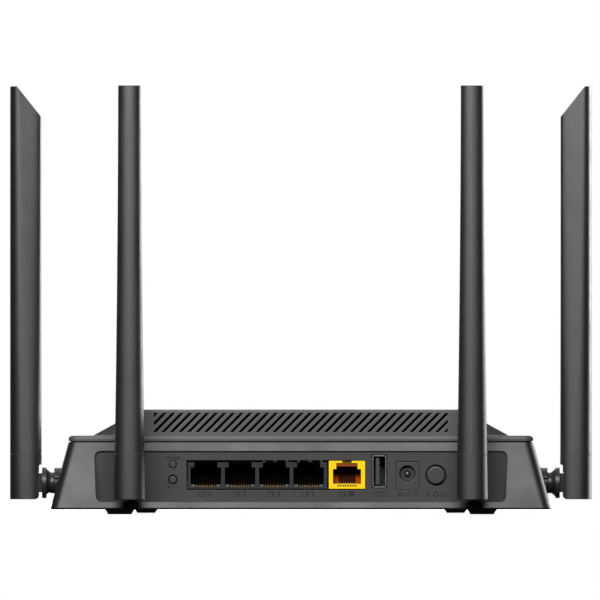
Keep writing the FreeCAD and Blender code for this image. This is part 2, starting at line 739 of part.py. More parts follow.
# ------------------------------------------------------------------- antennas
def placed(shape, spot):
    """Move a shape from an antenna's own frame to its place on the case."""
    x, y, turn = ANTENNAS[spot]
    moved = shape.copy()
    moved.Placement = FreeCAD.Placement(vec(x, y, AXIS_Z), FreeCAD.Rotation(Z, turn))
    return moved


def make_bushing():
    """Flanged sleeve in the case wall; the swivel turns in its bore."""
    flange = rod(BUSHING_R, vec(-6.5, 0, 0), 6.5, X)
    barrel = rod(BARREL_R, vec(-8.0, 0, 0), 8.0, X)
    bore = rod(JOURNAL_R + RUNNING_GAP, vec(-10, 0, 0), 12, X)
    slit = box((-2.1, 1.0), (-8, -4.8), (1.35, 2.0))
    return flange, barrel, bore, slit


def wall_behind(x, y):
    """Block that fills the case behind the leaning outer face of a side wall."""
    low = 0.0
    high = 26.0
    side = math.copysign(1, x)
    low_x = side * (BASE_HALF_X - wall_inset(low))
    high_x = side * (BASE_HALF_X - wall_inset(high))
    return prism([vec(low_x, y - 10, low), vec(high_x, y - 10, high), vec(side * 80, y - 10, high),
                  vec(side * 80, y - 10, low)], Y * 20)


def make_bushings():
    flange, barrel, bore, slit = make_bushing()
    bushings = []
    for spot, (x, y, turn) in ANTENNAS.items():
        collar = placed(flange, spot)
        if spot.endswith("side"):
            collar = collar.cut(wall_behind(x, y))
        else:
            collar = collar.cut(box((x - 10, x + 10), (PANEL_Y, PANEL_Y + 10), (0, 30)))
        face = placed(slit, spot)
        if turn > 90:
            face = face.mirror(vec(x, y, AXIS_Z), Y)
        whole = collar.fuse(placed(barrel, spot)).removeSplitter()
        bushings.append(whole.cut([placed(bore, spot), face]))
    return group(bushings)


def make_swivel(lug_sides):
    """Knuckle that turns in the bushing and carries the hinge pin in its tongue."""
    turned = [
        rod(JOURNAL_R, vec(-8.05, 0, 0), 8.15, X),
        Part.makeCone(JOURNAL_R - 0.4, JOURNAL_R + 0.8, 1.3, vec(-9.35, 0, 0), X),
        rod(NECK_R, vec(0.05, 0, 0), 1.6, X),
        rod(GROOVE_R, vec(1.6, 0, 0), 1.7, X),
        rod(DISC_R, vec(DISC_U[0], 0, 0), DISC_U[1] - DISC_U[0], X),
    ]
    lugs = []
    for side in lug_sides:
        lugs.append(prism([vec(1.6, -1.3, side * 3.0), vec(DISC_U[0] + 0.1, -1.3, side * 3.0),
                           vec(DISC_U[0] + 0.1, -1.3, side * 5.7), vec(1.6, -1.3, side * 4.25)], Y * 2.6))
    plate = box((DISC_U[1] - 0.1, FOOT_INNER_U + 0.4), (-TONGUE_HALF_V, TONGUE_HALF_V),
                (-TONGUE_HALF_W, TONGUE_HALF_W))
    eye = rod(3.4, vec(PIN_U, -TONGUE_HALF_V, PIN_W), 2 * TONGUE_HALF_V, Y)
    bridge = prism([vec(FOOT_INNER_U, -TONGUE_HALF_V, -TONGUE_HALF_W),
                    vec(PIN_U, -TONGUE_HALF_V, PIN_W - 3.3),
                    vec(PIN_U + 1.5, -TONGUE_HALF_V, PIN_W + 3.0),
                    vec(FOOT_INNER_U + 0.4, -TONGUE_HALF_V, TONGUE_HALF_W)], Y * (2 * TONGUE_HALF_V))
    body = fuse(turned + lugs + [plate, eye, bridge]).removeSplitter()
    pin_hole = rod(PIN_R, vec(PIN_U, -5, PIN_W), 10, Y)
    cable_hole = rod(1.0, vec(-12, 0, 0), 12 + DISC_U[1], X)
    return body.cut([pin_hole, cable_hole])


def make_hinge_pin():
    return rod(PIN_R, vec(PIN_U, -PIN_HALF_V, PIN_W), 2 * PIN_HALF_V, Y)


def closing(t, power):
    """Superellipse: 1 at t = 0, and it falls to 0 at t = 1."""
    return (1 - min(t, 1.0) ** power) ** (1 / power)


def blade_section(w, inner_u, crest_u, half_v, spine, taper, lean, edge):
    """Smooth closed section, thickest at crest_u. Its side thins towards the case by taper, along
    a curve of power lean; spine and edge are the powers that round its outer and inner ends."""
    outer = []
    for i in range(5):
        t = math.sin(math.pi / 2 * i / 5)
        outer.append((crest_u + (OUTER_U - crest_u) * t, half_v * closing(t, spine)))
    inner = []
    for i in range(1, 8):
        t = math.sin(math.pi / 2 * i / 8)
        inner.append((crest_u - (crest_u - inner_u) * t, half_v * (1 - taper * t ** lean) * closing(t, edge)))
    side = outer[::-1] + inner
    points = [vec(OUTER_U, 0, w)] + [vec(u, v, w) for u, v in side]
    points += [vec(inner_u, 0, w)] + [vec(u, -v, w) for u, v in reversed(side)]
    curve = Part.BSplineCurve()
    curve.interpolate(Points=points, PeriodicFlag=True)
    return Part.Wire(curve.toShape())


def seam_section():
    return blade_section(SEAM_W, BLADE_INNER_U + 0.2, 12.3, 6.08, 2.2, 0.05, 2.0, 2.6)


def hollow_section(inner_u, outer_u, half_v, w):
    return rounded_wire((inner_u, outer_u), (-half_v, half_v), (1.0, 1.0), w)


def foot_profile():
    """Side outline of the foot: rounded lower corner and a small step near the seam."""
    corner = 1.7
    knee = 0.7
    low = FOOT_BOTTOM_W
    inner = FOOT_INNER_U
    diagonal = 1 - math.sqrt(0.5)
    points = [vec(OUTER_U + 1, -10, low), vec(inner + corner, -10, low), vec(inner, -10, low + corner),
              vec(inner, -10, STEP_W - knee), vec(inner - knee, -10, STEP_W),
              vec(BLADE_INNER_U - 1, -10, STEP_W), vec(BLADE_INNER_U - 1, -10, SEAM_W),
              vec(OUTER_U + 1, -10, SEAM_W)]
    lower_mid = vec(inner + corner * diagonal, -10, low + corner * diagonal)
    knee_mid = vec(inner - knee * diagonal, -10, STEP_W - knee * diagonal)
    edges = [
        Part.LineSegment(points[0], points[1]).toShape(),
        Part.Arc(points[1], lower_mid, points[2]).toShape(),
        Part.LineSegment(points[2], points[3]).toShape(),
        Part.Arc(points[3], knee_mid, points[4]).toShape(),
    ]
    for start, end in zip(points[4:], points[5:] + points[:1]):
        edges.append(Part.LineSegment(start, end).toShape())
    return Part.Face(Part.Wire(edges)).extrude(Y * 20)


def make_foot():
    bottom = blade_section(FOOT_BOTTOM_W, BLADE_INNER_U, 12.0, 6.3, 2.2, 0.0, 2.0, 2.4)
    blank = loft([bottom, seam_section()], True)
    foot = blank.common(foot_profile())
    spigot = loft([hollow_section(8.1, 15.6, 3.3, w) for w in (SEAM_W - 1, SEAM_W + 6)], True)
    notch = box((BLADE_INNER_U - 1, FOOT_INNER_U + 0.45), (-10, 10),
                (-TONGUE_HALF_W - 0.2, TONGUE_HALF_W + 0.2))
    slot = box((BLADE_INNER_U - 1, PIN_U + 3.7), (-TONGUE_HALF_V - 0.2, TONGUE_HALF_V + 0.2),
               (FOOT_BOTTOM_W - 1, TONGUE_HALF_W + 0.5))
    pin_bore = rod(PIN_R + RUNNING_GAP, vec(PIN_U, -PIN_HALF_V - 0.2, PIN_W), 2 * PIN_HALF_V + 0.4, Y)
    channel = rod(1.2, vec(11.4, 0, 0), SEAM_W + 8, Z)
    socket = box((9.2, 14.4), (-3.05, 3.05), (SEAM_W + 1.0, SEAM_W + 7))
    return foot.fuse(spigot).cut([notch, slot, pin_bore, channel, socket])


def make_sleeve():
    middle = blade_section(74.0, BLADE_INNER_U + 0.35, 13.7, 5.22, 2.1, 0.32, 1.3, 4.5)
    tip_section = blade_section(TIP_W, BLADE_INNER_U + 0.4, 14.9, 4.66, 1.9, 0.42, 1.0, 7.0)
    outer = loft([seam_section(), middle, tip_section], False)
    drop = (OUTER_U - TIP_FLAT) * TIP_FALL
    tip = prism([vec(OUTER_U - TIP_FLAT, -10, TIP_W), vec(OUTER_U - TIP_FLAT, -10, TIP_W + 10),
                 vec(0, -10, TIP_W + 10), vec(0, -10, TIP_W - drop)], Y * 20)
    outer = outer.cut(tip)
    cavity = loft([hollow_section(7.9, 15.7, 3.4, SEAM_W),
                   hollow_section(9.4, 15.4, 2.6, TIP_W - 17)], True)
    return outer.cut(cavity)


def make_radiator():
    return box((11.0, 12.2), (-2.4, 2.4), (SEAM_W + 1.0, SEAM_W + 110))


# ------------------------------------------------------------------- assembly
def main():
    os.makedirs("parts", exist_ok=True)
    save("lower_shell", make_lower_shell())
    save("top_cover", make_top_cover())
    save("port_panel", make_port_panel())
    save("rubber_feet", make_rubber_feet())
    save("case_screws", make_case_screws())
    save("circuit_board", make_circuit_board())
    save("board_screws", make_board_screws())
    save("lan_jack_block", make_lan_jack_block())
    save("lan_contacts", make_lan_contacts())
    save("wan_jack", make_wan_jack())
    save("wan_contacts", make_wan_contacts())
    save("usb_shell", make_usb_shell())
    save("usb_tongue", make_usb_tongue())
    save("usb_contacts", make_usb_contacts())
    save("dc_jack", make_dc_jack())
    save("dc_pin", make_dc_pin())
    save("power_switch", make_power_switch())
    save("power_button", make_power_button())
    save("wifi_button", make_small_button(WIFI_AT, 1.4))
    save("wps_button", make_small_button(WPS_AT, 1.5))
    save("tact_switches", make_tact_switches())
    save("button_board", make_button_board())
    save("processor_shield", shield_can(CPU_AT, CPU_CAN))
    save("radio_shield_left", shield_can((-46.0, 20.0), (36.0, 44.0, 3.4)))
    save("radio_shield_right", shield_can((52.0, 20.0), (36.0, 44.0, 3.4)))
    save("thermal_pad", block(CPU_AT, (38.0, 32.0, 0.5), BOARD_TOP + CPU_CAN[2]))
    save("heatsink", make_heatsink())
    save("processor", block(CPU_AT, (17.0, 17.0, 1.6), BOARD_TOP))
    save("board_chips", make_board_chips())
    save("transformers", make_transformers())
    save("capacitors", make_capacitors())
    save("inductors", make_inductors())
    save("status_leds", make_status_leds())
    save("light_guide", make_light_guide())
    save("coax_plugs", make_coax_plugs())
    save("antenna_bushings", make_bushings())
    hinge_pin = make_hinge_pin()
    foot = make_foot()
    sleeve = make_sleeve()
    radiator = make_radiator()
    for spot in ANTENNAS:
        save(spot + "_coax", make_coax_cable(spot))
        lug_sides = (1,) if spot == "left_side" else (-1, 1)
        save(spot + "_swivel", placed(make_swivel(lug_sides), spot))
        save(spot + "_hinge_pin", placed(hinge_pin, spot))
        save(spot + "_antenna_foot", placed(foot, spot))
        save(spot + "_antenna_sleeve", placed(sleeve, spot))
        save(spot + "_radiator", placed(radiator, spot))


main()
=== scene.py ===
import json
import math

import bmesh
import bpy
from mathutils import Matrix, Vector


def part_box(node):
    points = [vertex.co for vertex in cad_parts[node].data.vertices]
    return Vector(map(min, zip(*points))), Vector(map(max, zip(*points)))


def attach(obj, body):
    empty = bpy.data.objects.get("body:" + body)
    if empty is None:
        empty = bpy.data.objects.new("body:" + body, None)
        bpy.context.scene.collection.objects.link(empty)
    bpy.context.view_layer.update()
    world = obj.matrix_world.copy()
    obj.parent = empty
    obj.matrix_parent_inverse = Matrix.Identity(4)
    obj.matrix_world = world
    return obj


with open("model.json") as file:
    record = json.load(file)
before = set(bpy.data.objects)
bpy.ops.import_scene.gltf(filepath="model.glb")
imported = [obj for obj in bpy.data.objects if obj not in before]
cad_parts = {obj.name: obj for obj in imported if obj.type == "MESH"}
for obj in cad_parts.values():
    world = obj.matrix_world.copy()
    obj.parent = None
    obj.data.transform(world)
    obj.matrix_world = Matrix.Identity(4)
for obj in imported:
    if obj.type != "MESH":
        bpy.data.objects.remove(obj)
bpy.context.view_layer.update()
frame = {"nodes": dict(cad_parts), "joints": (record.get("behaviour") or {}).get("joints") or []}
MM = 0.001
NEAR = 0.00002              # metres; points closer than this are taken as one
NOISE_LOW = 0.3             # most of a noise node's values lie between these two
NOISE_HIGH = 0.7
SIDEWAYS = Vector((1, 0, 0))
UPWARDS = Vector((0, 0, 1))
INWARDS = Vector((0, 1, 0))
OUTWARDS = Vector((0, -1, 0))   # the way the sockets face

# Spots of the four antennas, with the direction that each connector points in.
SPOTS = {"left_side": -SIDEWAYS, "right_side": SIDEWAYS, "left_back": OUTWARDS, "right_back": OUTWARDS}
JOINTS = {joint["name"]: joint for joint in frame["joints"]}


def middle(node):
    """Centre of a CAD node's box."""
    low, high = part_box(node)
    return (Vector(low) + Vector(high)) / 2


# ------------------------------------------------------------------ materials
class Graph:
    """Small helper that adds shader nodes and links them."""

    def __init__(self, name):
        self.material = bpy.data.materials.new(name)
        self.material.use_nodes = True
        self.tree = self.material.node_tree
        self.shader = self.tree.nodes["Principled BSDF"]
        self.place = self.tree.nodes.new("ShaderNodeTexCoord").outputs["Object"]

    def node(self, kind, inputs, **settings):
        made = self.tree.nodes.new(kind)
        for key, value in settings.items():
            setattr(made, key, value)
        for key, value in inputs.items():
            if isinstance(value, bpy.types.NodeSocket):
                self.tree.links.new(value, made.inputs[key])
            else:
                made.inputs[key].default_value = value
        return made

    def set(self, **values):
        for key, value in values.items():
            socket = self.shader.inputs[key.replace("_", " ")]
            if isinstance(value, bpy.types.NodeSocket):
                self.tree.links.new(value, socket)
            else:
                socket.default_value = value

    def noise(self, scale, detail=2.0, rough=0.5):
        made = self.node("ShaderNodeTexNoise",
                         {"Vector": self.place, "Scale": scale, "Detail": detail, "Roughness": rough})
        return made.outputs["Fac"]

    def ramp(self, value, start, end, low=0.0, high=1.0):
        """Straight change from low at start to high at end, level outside them."""
        made = self.node("ShaderNodeMapRange", {"Value": value, "From Min": start, "From Max": end,
                                                "To Min": low, "To Max": high})
        return made.outputs["Result"]

    def spread(self, value, low, high):
        """Maps the usual span of a noise onto low..high."""
        return self.ramp(value, NOISE_LOW, NOISE_HIGH, low, high)

    def maths(self, operation, first, second=0.0):
        return self.node("ShaderNodeMath", {0: first, 1: second}, operation=operation).outputs[0]

    def blend(self, factor, first, second):
        made = self.node("ShaderNodeMix", {"Factor": factor}, data_type="RGBA")
        for index, colour in ((6, first), (7, second)):
            if isinstance(colour, bpy.types.NodeSocket):
                self.tree.links.new(colour, made.inputs[index])
            else:
                made.inputs[index].default_value = (*colour, 1.0)
        return made.outputs[2]

    def edges(self, radius):
        """Mask that is 1 on sharp edges, and the normal that rounds them."""
        soft = self.node("ShaderNodeBevel", {"Radius": radius}, samples=6).outputs["Normal"]
        true = self.node("ShaderNodeNewGeometry", {}).outputs["True Normal"]
        dot = self.node("ShaderNodeVectorMath", {0: soft, 1: true}, operation="DOT_PRODUCT").outputs["Value"]
        return self.ramp(dot, 0.995, 0.86), soft

    def bump(self, height, distance, strength, normal=None):
        inputs = {"Height": height, "Distance": distance, "Strength": strength}
        if normal is not None:
            inputs["Normal"] = normal
        return self.node("ShaderNodeBump", inputs).outputs["Normal"]


def shade(colour, factor):
    """The colour made darker or lighter, at most white."""
    return tuple(min(channel * factor, 1.0) for channel in colour)


def plastic(name, colour, rough, grain=2600.0, grain_depth=0.25, sheen=0.5):
    """Moulded plastic: spark-eroded grain, slow changes of tone and gloss, polished edges."""
    graph = Graph(name)
    drift = graph.noise(28.0, 3.0)
    fine = graph.noise(grain, 3.0, 0.6)
    mask, soft = graph.edges(0.35 * MM)
    base = graph.blend(graph.spread(drift, 0.0, 1.0), shade(colour, 0.93), colour)
    flecked = graph.blend(graph.spread(fine, 0.0, 0.25), base, shade(colour, 0.75))
    worn = graph.maths("MULTIPLY", mask, graph.spread(graph.noise(420.0, 2.0), 0.1, 0.9))
    gloss = graph.maths("ADD", graph.spread(graph.noise(60.0, 4.0), rough - 0.04, rough + 0.05),
                        graph.maths("MULTIPLY", worn, -0.12))
    graph.set(Base_Color=graph.blend(worn, flecked, shade(colour, 1.35)), Roughness=gloss,
              Specular_IOR_Level=sheen, Normal=graph.bump(fine, 0.03 * MM, grain_depth, soft))
    return graph.material


def moulded(name, face_y, face, inner_shade, deep_shade, spans, rough, sheen):
    """Socket plastic that turns from its face colour to darker ones as the mouth gets deeper: painted shade
    for the inside of the socket.

    spans are three depths in mm: the inner_shade colour comes in over the first two, the deep_shade one
    after it.
    """
    graph = Graph(name)
    fine = graph.noise(3000.0, 3.0, 0.6)
    along = graph.node("ShaderNodeSeparateXYZ", {"Vector": graph.place}).outputs["Y"]
    depth = graph.maths("SUBTRACT", along, face_y)
    # Painted shade: the colour darkens with depth into the mouth.
    into = graph.ramp(depth, spans[0] * MM, spans[1] * MM)
    far = graph.ramp(depth, spans[1] * MM, spans[2] * MM)
    mask, soft = graph.edges(0.2 * MM)
    tone = graph.blend(graph.spread(fine, 0.0, 0.2), face, shade(face, 0.8))
    tone = graph.blend(graph.maths("MULTIPLY", mask, 0.35), tone, shade(face, 1.4))
    tone = graph.blend(into, tone, inner_shade)
    gloss = graph.spread(graph.noise(70.0), rough - 0.04, rough + 0.05)
    graph.set(Base_Color=graph.blend(far, tone, deep_shade), Roughness=gloss,
              Specular_IOR_Level=sheen, Normal=graph.bump(fine, 0.02 * MM, 0.15, soft))
    return graph.material


def metal(name, colour, rough, brush=(1.0, 1.0, 1.0)):
    """Plated metal: fine drawn lines, dull patches and brighter edges."""
    graph = Graph(name)
    graph.place = graph.node("ShaderNodeMapping", {"Vector": graph.place, "Scale": brush}).outputs["Vector"]
    lines = graph.noise(900.0, 4.0, 0.7)
    mask, soft = graph.edges(0.12 * MM)
    dull = graph.spread(graph.noise(90.0, 3.0), 0.0, 0.5)
    tone = graph.blend(dull, colour, shade(colour, 0.7))
    graph.set(Base_Color=graph.blend(mask, tone, shade(colour, 1.15)),
              Metallic=1.0, Roughness=graph.spread(lines, rough - 0.06, rough + 0.1),
              Normal=graph.bump(lines, 0.008 * MM, 0.3, soft))
    return graph.material


def rubber(name, colour, rough):
    """Soft rubber: matt, with a dusty bloom on its raised grain."""
    graph = Graph(name)
    fine = graph.noise(1800.0, 4.0, 0.65)
    bloom = graph.spread(graph.noise(140.0, 3.0), 0.0, 0.35)
    pale = tuple(channel * 1.8 + 0.01 for channel in colour)
    graph.set(Base_Color=graph.blend(bloom, colour, pale),
              Roughness=graph.spread(fine, rough - 0.06, rough + 0.06),
              Specular_IOR_Level=0.3, Normal=graph.bump(fine, 0.05 * MM, 0.4))
    return graph.material


def circuit(name):
    """Solder mask over copper: faint tracks show as ridges in a slightly lighter green."""
    graph = Graph(name)
    grid = graph.node("ShaderNodeTexBrick", {"Vector": graph.place, "Scale": 260.0, "Mortar Size": 0.06,
                                             "Color1": (0.3, 0.3, 0.3, 1), "Color2": (0.7, 0.7, 0.7, 1),
                                             "Mortar": (1, 1, 1, 1)}, offset=0.37).outputs["Color"]
    amount = graph.node("ShaderNodeRGBToBW", {"Color": grid}).outputs["Val"]
    graph.set(Base_Color=graph.blend(amount, (0.004, 0.05, 0.02), (0.01, 0.12, 0.05)),
              Roughness=graph.spread(graph.noise(200.0), 0.28, 0.42),
              Normal=graph.bump(amount, 0.03 * MM, 0.3))
    return graph.material


def clear(name):
    """Frosted clear plastic of the light guide."""
    graph = Graph(name)
    fine = graph.noise(1500.0, 3.0)
    graph.set(Base_Color=graph.blend(graph.spread(fine, 0.0, 1.0), (0.75, 0.78, 0.8), (0.88, 0.9, 0.92)),
              Roughness=graph.spread(fine, 0.3, 0.45), Transmission_Weight=0.6, IOR=1.49,
              Normal=graph.bump(fine, 0.02 * MM, 0.3))
    return graph.material


def foil(name, colour):
    """Matt foil of a label: faint fibre and a satin coat."""
    graph = Graph(name)
    fibre = graph.noise(700.0, 5.0, 0.7)
    graph.set(Base_Color=graph.blend(graph.spread(fibre, 0.0, 0.5), colour, shade(colour, 0.88)),
              Roughness=graph.spread(fibre, 0.45, 0.6), Normal=graph.bump(fibre, 0.02 * MM, 0.25))
    return graph.material


# Shell, cover and panel are one plastic whose tones are set apart as painted light and shade; the panel's
# darker tone is painted shade for its recess.
SHELL = plastic("shell_plastic", (0.011, 0.011, 0.011), 0.44, sheen=0.45)
COVER = plastic("cover_plastic", (0.070, 0.070, 0.070), 0.46)
PANEL_SHADED = plastic("panel_shaded_plastic", (0.032, 0.032, 0.0324), 0.48, sheen=0.42)
ANTENNA = plastic("antenna_plastic", (0.008, 0.008, 0.008), 0.48, grain=3200.0, grain_depth=0.18, sheen=0.85)
KNUCKLE = plastic("knuckle_plastic", (0.018, 0.018, 0.018), 0.40, grain=3200.0, grain_depth=0.15)
BUTTON = plastic("button_plastic", (0.032, 0.032, 0.032), 0.40, grain=3600.0, grain_depth=0.12)
MARK = plastic("raised_mark_plastic", (0.010, 0.010, 0.010), 0.30, grain=3600.0, grain_depth=0.1)
JACK_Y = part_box("lan_jack_block")[0].y
# The second and third colours of each socket plastic are painted shade for the inside of its mouth.
JACK_GREY = moulded("jack_grey_plastic", JACK_Y, (0.036, 0.036, 0.037), (0.003, 0.003, 0.003),
                    (0.001, 0.001, 0.001), (0.3, 0.6, 3.0), 0.45, 0.04)
JACK_YELLOW = moulded("jack_yellow_plastic", JACK_Y, (0.92, 0.60, 0.0), (0.70, 0.16, 0.004),
                      (0.10, 0.012, 0.001), (0.15, 0.9, 9.0), 0.40, 0.3)
# Painted shade: the yellow socket plastic as dark as it looks deep in the mouth; it also fills the contact
# slots and the latch notch.
WAN_DEEP_SHADE = plastic("wan_deep_shade_plastic", (0.035, 0.006, 0.003), 0.5, sheen=0.2)
WIRE_DARK = metal("shaded_contact_wire", (0.03, 0.006, 0.002), 0.45)
WIRE_BRIGHT = metal("contact_wire", (0.40, 0.15, 0.05), 0.40)
TIN = metal("tinned_steel", (0.20, 0.20, 0.205), 0.36)
# Painted shade: orange-brown copy of the yellow socket plastic, for the ramp and the latch step inside the
# mouth.
WAN_SHADED_YELLOW = plastic("wan_shaded_yellow_plastic", (0.30, 0.055, 0.003), 0.5, sheen=0.2)
LIP_GREY = plastic("jack_lip_plastic", (0.075, 0.074, 0.072), 0.45)
# Painted highlight: lighter than the antenna plastic, so that the seam bead shows as a bright line.
SEAM_HIGHLIGHT = plastic("seam_highlight_plastic", (0.045, 0.045, 0.045), 0.38, grain=3200.0, grain_depth=0.1)
BLACK = plastic("black_plastic", (0.020, 0.020, 0.021), 0.42)
TONGUE = plastic("tongue_plastic", (0.036, 0.036, 0.037), 0.42)
NICKEL = metal("nickel_plate", (0.30, 0.30, 0.305), 0.30)
STEEL = metal("zinc_steel", (0.50, 0.50, 0.52), 0.34, (1.0, 8.0, 1.0))
GOLD = metal("gold_plate", (0.42, 0.26, 0.09), 0.38)
ALUMINIUM = metal("extruded_aluminium", (0.72, 0.73, 0.75), 0.38, (1.0, 0.05, 1.0))
COPPER = metal("bare_copper", (0.72, 0.38, 0.24), 0.40)
RUBBER = rubber("foot_rubber", (0.052, 0.052, 0.053), 0.75)
# Black rubber of the coax cables, also used for the black rings in the swivels' grooves; the same near-black
# is painted shade in the USB gap and the power pin's painted dark reflection.
BLACK_RUBBER_AND_SHADE = rubber("black_rubber_and_shade", (0.006, 0.006, 0.006), 0.60)
PAD = rubber("thermal_pad", (0.20, 0.24, 0.32), 0.80)
BOARD = circuit("solder_mask")
GUIDE = clear("light_guide_plastic")
FOIL = foil("label_foil", (0.42, 0.42, 0.43))

FINISHES = {
    SHELL: ["lower_shell"],
    COVER: ["top_cover"],
    PANEL_SHADED: ["port_panel", "dc_jack"],
    RUBBER: ["rubber_feet"],
    STEEL: ["case_screws", "board_screws", "processor_shield", "radio_shield_left", "radio_shield_right"],
    BOARD: ["circuit_board", "button_board"],
    JACK_GREY: ["lan_jack_block"],
    JACK_YELLOW: ["wan_jack"],
    GOLD: ["lan_contacts", "wan_contacts", "usb_contacts", "coax_plugs"],
    TIN: ["usb_shell"],
    NICKEL: ["dc_pin"] + [spot + "_hinge_pin" for spot in SPOTS],
    TONGUE: ["usb_tongue"],
    BLACK: ["power_switch", "tact_switches", "processor", "board_chips", "transformers", "inductors"],
    BUTTON: ["power_button", "wifi_button", "wps_button"],
    PAD: ["thermal_pad"],
    ALUMINIUM: ["heatsink", "capacitors"],
    GUIDE: ["light_guide", "status_leds"],
    KNUCKLE: ["antenna_bushings"] + [spot + "_swivel" for spot in SPOTS],
    ANTENNA: [spot + part for spot in SPOTS for part in ("_antenna_foot", "_antenna_sleeve")],
    COPPER: [spot + "_radiator" for spot in SPOTS],
    BLACK_RUBBER_AND_SHADE: [spot + "_coax" for spot in SPOTS],
}


def paint(obj, material):
    obj.data.materials.clear()
    obj.data.materials.append(material)


for finish, names in FINISHES.items():
    for node in names:
        paint(frame["nodes"][node], finish)


# ------------------------------------------------------------- piece builders
def piece(name, bm, material, body, angle=None):
    """New object that rides on a CAD body; with an angle, its flatter edges are shaded smooth."""
    bmesh.ops.recalc_face_normals(bm, faces=bm.faces)
    mesh = bpy.data.meshes.new(name)
    bm.to_mesh(mesh)
    bm.free()
    obj = bpy.data.objects.new(name, mesh)
    bpy.context.scene.collection.objects.link(obj)
    paint(obj, material)
    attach(obj, body)
    if angle is not None:
        mesh.shade_smooth()
        mesh.set_sharp_from_angle(angle=math.radians(angle))


def join_rings(bm, rings, closed):
    """Faces between each ring of points and the next one, and from the last to the first if closed."""
    count = len(rings)
    for i in range(count if closed else count - 1):
        here = rings[i]
        there = rings[(i + 1) % count]
        for j in range(len(here)):
            k = (j + 1) % len(here)
            bm.faces.new((here[j], here[k], there[k], there[j]))


def lathe(name, profile, centre, axis, material, body, steps=96):
    """Closed ring turned about an axis; profile is (distance along the axis, radius) in mm."""
    across = axis.orthogonal().normalized()
    up = axis.cross(across)
    bm = bmesh.new()
    rings = []
    for i in range(steps):
        turn = 2 * math.pi * i / steps
        outward = across * math.cos(turn) + up * math.sin(turn)
        rings.append([bm.verts.new(centre + axis * (along * MM) + outward * (radius * MM))
                      for along, radius in profile])
    join_rings(bm, rings, True)
    piece(name, bm, material, body, 40.0)


def make_groove_rings():
    """Black ring in each swivel's groove, between its neck and its disc."""
    profile = [(1.63, 3.62), (3.18, 3.62), (3.18, 4.9), (2.8, 4.45), (2.2, 4.1), (1.63, 3.9)]
    for spot, out in SPOTS.items():
        joint = JOINTS[spot + "_swivel_joint"]
        lathe("swivel_groove_ring_" + spot, profile, Vector(joint["pos_m"]), out, BLACK_RUBBER_AND_SHADE, joint["child"])


def sweep(bm, points, normal, half_width, height, closed=False):
    """Sweeps a flattened round bead along a line; normal is the way its height points."""
    sides = 8
    count = len(points)
    rings = []
    for i, point in enumerate(points):
        before = points[(i - 1) % count] if closed or i > 0 else point
        after = points[(i + 1) % count] if closed or i < count - 1 else point
        side = (after - before).cross(normal).normalized()
        bead = []
        for k in range(sides):
            turn = 2 * math.pi * k / sides
            offset = side * (math.cos(turn) * half_width) + normal * (math.sin(turn) * height)
            bead.append(bm.verts.new(point + offset))
        rings.append(bead)
    join_rings(bm, rings, closed)
    if not closed:
        bm.faces.new(rings[0])
        bm.faces.new(rings[-1])


def outline_at_bottom(node):
    """Outer outline of a CAD node's lowest face, as points in order."""
    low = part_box(node)[0].z
    obj = frame["nodes"][node]
    bm = bmesh.new()
    for vertex in obj.data.vertices:
        spot = obj.matrix_world @ vertex.co
        if spot.z < low + NEAR:
            bm.verts.new((spot.x, spot.y, 0.0))
    bmesh.ops.remove_doubles(bm, verts=bm.verts, dist=NEAR)
    found = [vertex.co.copy() for vertex in bm.verts]
    bm.free()
    hull = []
    for turn in (1, -1):
        part = []
        for point in sorted(found, key=lambda p: (turn * p.x, turn * p.y)):
            while len(part) > 1 and (part[-1] - part[-2]).cross(point - part[-1]).z <= 0:
                part.pop()
            part.append(point)
        hull += part[:-1]
    return [Vector((point.x, point.y, low)) for point in hull]


def make_seam_beads():
    """Fine bead that closes the joint line between each antenna's foot and sleeve; its shape catches the
    light, and its lighter plastic adds a painted highlight.
    """
    for spot in SPOTS:
        bm = bmesh.new()
        sweep(bm, outline_at_bottom(spot + "_antenna_sleeve"), UPWARDS, 0.12 * MM, 0.16 * MM, True)
        piece("seam_bead_" + spot, bm, SEAM_HIGHLIGHT, JOINTS[spot + "_tilt_joint"]["child"], 60.0)


# -------------------------------------------------------------- places of the sockets
LAN_PITCH = 13.97           # mm from one ganged socket to the next
LAN_MARGIN = 7.35           # from the block's side to the middle of its first socket
WIRE_Z = 12.3               # height at which the contact wires leave the sockets' lower lip


def lan_centres():
    """X of the four ganged sockets, in mm."""
    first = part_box("lan_jack_block")[0].x / MM + LAN_MARGIN
    return [first + LAN_PITCH * i for i in range(4)]


def row(pitch):
    """Offsets of a socket's eight contacts from its middle."""
    return [(k - 3.5) * pitch for k in range(8)]


# ----------------------------------------------------------- marks by the sockets
# A mark is a list of lines, each a list of (x, z) points in mm about the mark's middle.
MARK_Z = 8.35               # height of the marks under the sockets
OVER_BUTTON = 2.75          # from the upper small button's middle up to its mark
UNDER_BUTTON = 2.6          # from the lower small button's middle down to its mark


def arc(cx, cz, radius, start, end, steps=14):
    """Points on a circle; the angles are in degrees and turn from +X towards +Z."""
    turns = [math.radians(start + (end - start) * i / steps) for i in range(steps + 1)]
    return [(cx + radius * math.cos(turn), cz + radius * math.sin(turn)) for turn in turns]


def ring(cx, cz, radius):
    return arc(cx, cz, radius, 0.0, 360.0, 24)


def moved(lines, dx, dz):
    return [[(x + dx, z + dz) for x, z in line] for line in lines]


def digit(value):
    """A plain numeral about 2.2 mm tall."""
    return {
        1: [[(-0.45, 0.7), (0.1, 1.1), (0.1, -1.1)]],
        2: [arc(0.0, 0.5, 0.6, 160.0, -35.0) + [(-0.65, -1.1), (0.7, -1.1)]],
        3: [arc(0.0, 0.52, 0.57, 150.0, -90.0) + arc(0.0, -0.52, 0.6, 90.0, -150.0)],
        4: [[(0.3, -1.1), (0.3, 1.1), (-0.7, -0.45), (0.75, -0.45)]],
    }[value]


